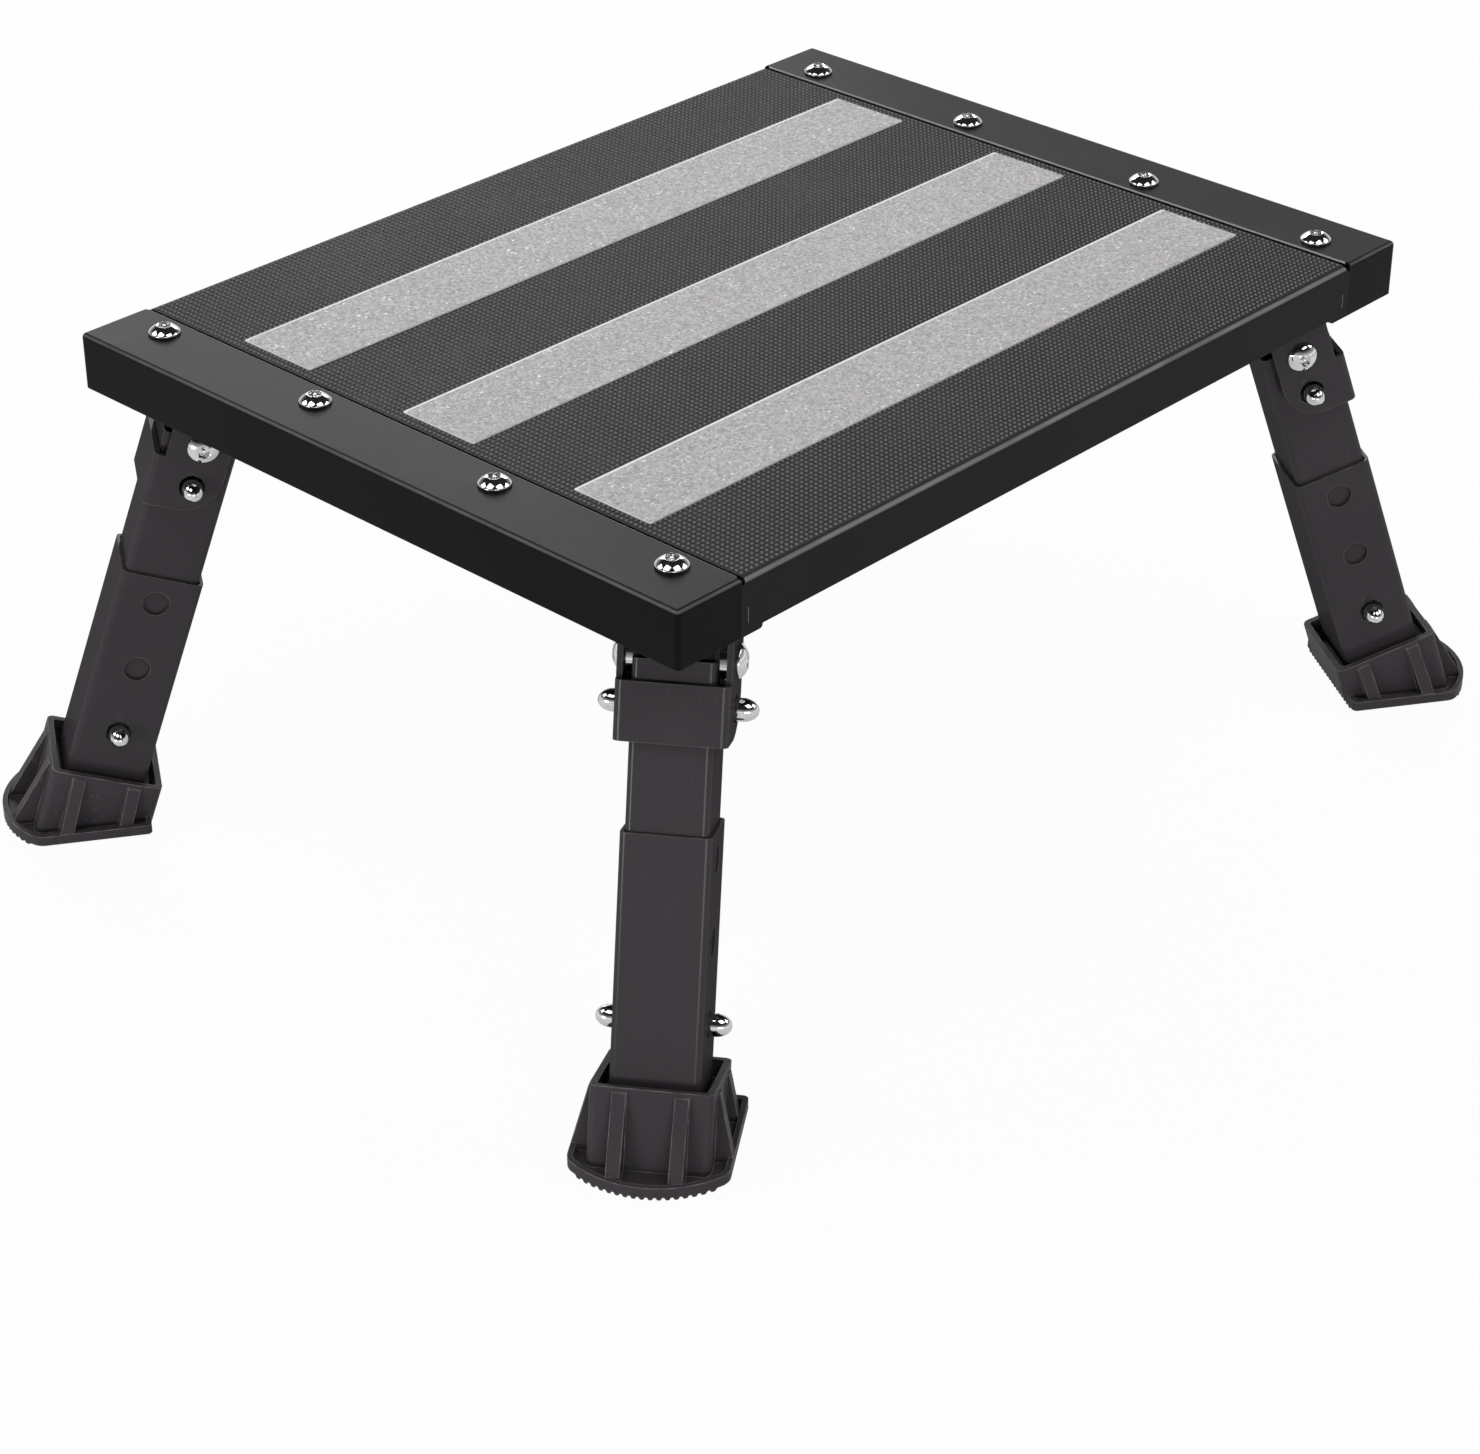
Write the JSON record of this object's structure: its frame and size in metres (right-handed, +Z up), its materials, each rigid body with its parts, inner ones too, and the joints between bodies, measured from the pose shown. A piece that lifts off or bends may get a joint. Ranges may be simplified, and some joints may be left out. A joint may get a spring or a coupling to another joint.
{
  "type": "caravan entry step",
  "caption": "Folding caravan entry step: a flat sheet-metal tread with raised end caps and anti-slip strips, on splayed telescopic legs that fold in, locked by snap buttons.",
  "frame": {"origin": "on the floor, under the middle of the platform, with the legs unfolded at their shortest setting", "axes": "+X along the platform's long side, +Z up, -Y is the front"},
  "size_m": [0.604, 0.461, 0.2456],
  "materials": {
    "frame_paint": "satin",
    "tread_paint": "satin",
    "chrome": "polished",
    "spring_steel": "satin",
    "foot_plastic": "matte",
    "grip_tape": "matte"
  },
  "bodies": {
    "platform": {"tread_panel": "tread_paint", "end_cap_left": "frame_paint", "end_rail_left": "frame_paint", "cap_screws_left": "chrome", "cap_nuts_left": "chrome", "end_cap_right": "frame_paint", "end_rail_right": "frame_paint", "cap_screws_right": "chrome", "cap_nuts_right": "chrome", "tread_stiffener_front": "frame_paint", "tread_stiffener_back": "frame_paint", "grip_strip_front": "grip_tape", "grip_strip_middle": "grip_tape", "grip_strip_back": "grip_tape", "pivot_bolts": "chrome", "pivot_screws": "chrome", "pivot_spacers": "chrome", "bracket_front_left": "frame_paint", "bracket_front_right": "frame_paint", "bracket_back_left": "frame_paint", "bracket_back_right": "frame_paint"},
    "upper_leg_front_left": {"upper_tube_front_left": "frame_paint", "fold_spring_front_left": "spring_steel", "height_spring_front_left": "spring_steel"},
    "lower_leg_front_left": {"lower_tube_front_left": "frame_paint", "foot_front_left": "foot_plastic"},
    "fold_button_side_front_left": {"fold_button_side_front_left": "chrome"},
    "fold_button_end_front_left": {"fold_button_end_front_left": "chrome"},
    "height_button_side_front_left": {"height_button_side_front_left": "chrome"},
    "height_button_end_front_left": {"height_button_end_front_left": "chrome"},
    "upper_leg_front_right": {"upper_tube_front_right": "frame_paint", "fold_spring_front_right": "spring_steel", "height_spring_front_right": "spring_steel"},
    "lower_leg_front_right": {"lower_tube_front_right": "frame_paint", "foot_front_right": "foot_plastic"},
    "fold_button_side_front_right": {"fold_button_side_front_right": "chrome"},
    "fold_button_end_front_right": {"fold_button_end_front_right": "chrome"},
    "height_button_side_front_right": {"height_button_side_front_right": "chrome"},
    "height_button_end_front_right": {"height_button_end_front_right": "chrome"},
    "upper_leg_back_left": {"upper_tube_back_left": "frame_paint", "fold_spring_back_left": "spring_steel", "height_spring_back_left": "spring_steel"},
    "lower_leg_back_left": {"lower_tube_back_left": "frame_paint", "foot_back_left": "foot_plastic"},
    "fold_button_side_back_left": {"fold_button_side_back_left": "chrome"},
    "fold_button_end_back_left": {"fold_button_end_back_left": "chrome"},
    "height_button_side_back_left": {"height_button_side_back_left": "chrome"},
    "height_button_end_back_left": {"height_button_end_back_left": "chrome"},
    "upper_leg_back_right": {"upper_tube_back_right": "frame_paint", "fold_spring_back_right": "spring_steel", "height_spring_back_right": "spring_steel"},
    "lower_leg_back_right": {"lower_tube_back_right": "frame_paint", "foot_back_right": "foot_plastic"},
    "fold_button_side_back_right": {"fold_button_side_back_right": "chrome"},
    "fold_button_end_back_right": {"fold_button_end_back_right": "chrome"},
    "height_button_side_back_right": {"height_button_side_back_right": "chrome"},
    "height_button_end_back_right": {"height_button_end_back_right": "chrome"}
  },
  "joints": [
    {"name": "fold_front_left", "type": "hinge", "parent": "platform", "child": "upper_leg_front_left", "pos_m": [-0.206, -0.151, 0.19353], "axis": [-0.5664, 0.8241, 0], "range_deg": [-106, 0], "deforming": ["fold_button_side_front_left", "fold_button_end_front_left"]},
    {"name": "height_front_left", "type": "slide", "parent": "upper_leg_front_left", "child": "lower_leg_front_left", "axis": [-0.2683, -0.1844, -0.9455], "range_m": [0, 0.07], "deforming": ["height_button_side_front_left", "height_button_end_front_left"]},
    {"name": "press_fold_button_side_front_left", "type": "slide", "parent": "upper_leg_front_left", "child": "fold_button_side_front_left", "axis": [-0.5664, 0.8241, 0], "range_m": [0, 0.0124], "stiffness_N_per_m": 1500, "deforming": ["fold_spring_front_left"]},
    {"name": "press_fold_button_end_front_left", "type": "slide", "parent": "upper_leg_front_left", "child": "fold_button_end_front_left", "axis": [0.5664, -0.8241, 0], "range_m": [0, 0.0124], "stiffness_N_per_m": 1500, "deforming": ["fold_spring_front_left"]},
    {"name": "press_height_button_side_front_left", "type": "slide", "parent": "upper_leg_front_left", "child": "height_button_side_front_left", "axis": [-0.5664, 0.8241, 0], "range_m": [0, 0.0113], "stiffness_N_per_m": 1500, "deforming": ["height_spring_front_left"]},
    {"name": "press_height_button_end_front_left", "type": "slide", "parent": "upper_leg_front_left", "child": "height_button_end_front_left", "axis": [0.5664, -0.8241, 0], "range_m": [0, 0.0113], "stiffness_N_per_m": 1500, "deforming": ["height_spring_front_left"]},
    {"name": "fold_front_right", "type": "hinge", "parent": "platform", "child": "upper_leg_front_right", "pos_m": [0.206, -0.151, 0.19353], "axis": [-0.5664, -0.8241, 0], "range_deg": [-106, 0], "deforming": ["fold_button_side_front_right", "fold_button_end_front_right"]},
    {"name": "height_front_right", "type": "slide", "parent": "upper_leg_front_right", "child": "lower_leg_front_right", "axis": [0.2683, -0.1844, -0.9455], "range_m": [0, 0.07], "deforming": ["height_button_side_front_right", "height_button_end_front_right"]},
    {"name": "press_fold_button_side_front_right", "type": "slide", "parent": "upper_leg_front_right", "child": "fold_button_side_front_right", "axis": [0.5664, 0.8241, 0], "range_m": [0, 0.0124], "stiffness_N_per_m": 1500, "deforming": ["fold_spring_front_right"]},
    {"name": "press_fold_button_end_front_right", "type": "slide", "parent": "upper_leg_front_right", "child": "fold_button_end_front_right", "axis": [-0.5664, -0.8241, 0], "range_m": [0, 0.0124], "stiffness_N_per_m": 1500, "deforming": ["fold_spring_front_right"]},
    {"name": "press_height_button_side_front_right", "type": "slide", "parent": "upper_leg_front_right", "child": "height_button_side_front_right", "axis": [0.5664, 0.8241, 0], "range_m": [0, 0.0113], "stiffness_N_per_m": 1500, "deforming": ["height_spring_front_right"]},
    {"name": "press_height_button_end_front_right", "type": "slide", "parent": "upper_leg_front_right", "child": "height_button_end_front_right", "axis": [-0.5664, -0.8241, 0], "range_m": [0, 0.0113], "stiffness_N_per_m": 1500, "deforming": ["height_spring_front_right"]},
    {"name": "fold_back_left", "type": "hinge", "parent": "platform", "child": "upper_leg_back_left", "pos_m": [-0.206, 0.151, 0.19353], "axis": [0.5664, 0.8241, 0], "range_deg": [-106, 0], "deforming": ["fold_button_side_back_left", "fold_button_end_back_left"]},
    {"name": "height_back_left", "type": "slide", "parent": "upper_leg_back_left", "child": "lower_leg_back_left", "axis": [-0.2683, 0.1844, -0.9455], "range_m": [0, 0.07], "deforming": ["height_button_side_back_left", "height_button_end_back_left"]},
    {"name": "press_fold_button_side_back_left", "type": "slide", "parent": "upper_leg_back_left", "child": "fold_button_side_back_left", "axis": [-0.5664, -0.8241, 0], "range_m": [0, 0.0124], "stiffness_N_per_m": 1500, "deforming": ["fold_spring_back_left"]},
    {"name": "press_fold_button_end_back_left", "type": "slide", "parent": "upper_leg_back_left", "child": "fold_button_end_back_left", "axis": [0.5664, 0.8241, 0], "range_m": [0, 0.0124], "stiffness_N_per_m": 1500, "deforming": ["fold_spring_back_left"]},
    {"name": "press_height_button_side_back_left", "type": "slide", "parent": "upper_leg_back_left", "child": "height_button_side_back_left", "axis": [-0.5664, -0.8241, 0], "range_m": [0, 0.0113], "stiffness_N_per_m": 1500, "deforming": ["height_spring_back_left"]},
    {"name": "press_height_button_end_back_left", "type": "slide", "parent": "upper_leg_back_left", "child": "height_button_end_back_left", "axis": [0.5664, 0.8241, 0], "range_m": [0, 0.0113], "stiffness_N_per_m": 1500, "deforming": ["height_spring_back_left"]},
    {"name": "fold_back_right", "type": "hinge", "parent": "platform", "child": "upper_leg_back_right", "pos_m": [0.206, 0.151, 0.19353], "axis": [0.5664, -0.8241, 0], "range_deg": [-106, 0], "deforming": ["fold_button_side_back_right", "fold_button_end_back_right"]},
    {"name": "height_back_right", "type": "slide", "parent": "upper_leg_back_right", "child": "lower_leg_back_right", "axis": [0.2683, 0.1844, -0.9455], "range_m": [0, 0.07], "deforming": ["height_button_side_back_right", "height_button_end_back_right"]},
    {"name": "press_fold_button_side_back_right", "type": "slide", "parent": "upper_leg_back_right", "child": "fold_button_side_back_right", "axis": [0.5664, -0.8241, 0], "range_m": [0, 0.0124], "stiffness_N_per_m": 1500, "deforming": ["fold_spring_back_right"]},
    {"name": "press_fold_button_end_back_right", "type": "slide", "parent": "upper_leg_back_right", "child": "fold_button_end_back_right", "axis": [-0.5664, 0.8241, 0], "range_m": [0, 0.0124], "stiffness_N_per_m": 1500, "deforming": ["fold_spring_back_right"]},
    {"name": "press_height_button_side_back_right", "type": "slide", "parent": "upper_leg_back_right", "child": "height_button_side_back_right", "axis": [0.5664, -0.8241, 0], "range_m": [0, 0.0113], "stiffness_N_per_m": 1500, "deforming": ["height_spring_back_right"]},
    {"name": "press_height_button_end_back_right", "type": "slide", "parent": "upper_leg_back_right", "child": "height_button_end_back_right", "axis": [-0.5664, 0.8241, 0], "range_m": [0, 0.0113], "stiffness_N_per_m": 1500, "deforming": ["height_spring_back_right"]}
  ]
}
